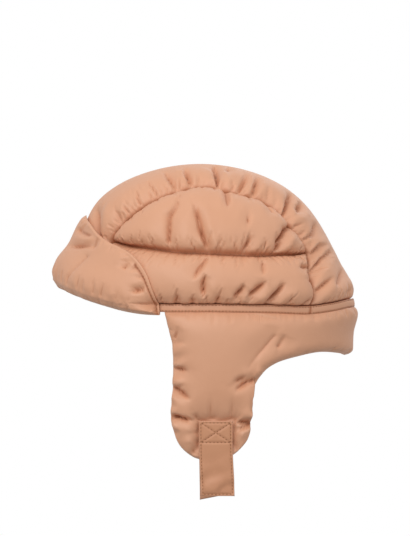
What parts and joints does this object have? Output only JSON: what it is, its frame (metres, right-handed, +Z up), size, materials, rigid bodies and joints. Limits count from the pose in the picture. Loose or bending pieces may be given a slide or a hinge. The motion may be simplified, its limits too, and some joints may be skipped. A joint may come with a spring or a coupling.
{
  "type": "padded trapper hat",
  "caption": "Padded trapper hat with a quilted crown, a turned-up front flap, ear flaps joined by a neck guard, and sewn chin straps.",
  "frame": {"origin": "middle of the head opening, level with the middle line of the band over the ears, where the hat sits on a head", "axes": "+Z up towards the crown, -X towards the brow and the front flap, +X towards the nape, -Y towards the wearer's left ear"},
  "size_m": [0.2669, 0.2086, 0.2852],
  "materials": {
    "shell_cloth": "smooth woven shell cloth with a soft satin sheen",
    "strap_cloth": "folded double strip of the same cloth"
  },
  "bodies": {
    "root": {"crown_centre_panel": "shell_cloth", "crown_side_panel_left": "shell_cloth", "crown_side_panel_right": "shell_cloth", "crown_band": "shell_cloth", "front_flap": "shell_cloth", "ear_and_neck_flap": "shell_cloth", "chin_strap_left": "strap_cloth", "chin_strap_right": "strap_cloth"}
  },
  "joints": []
}
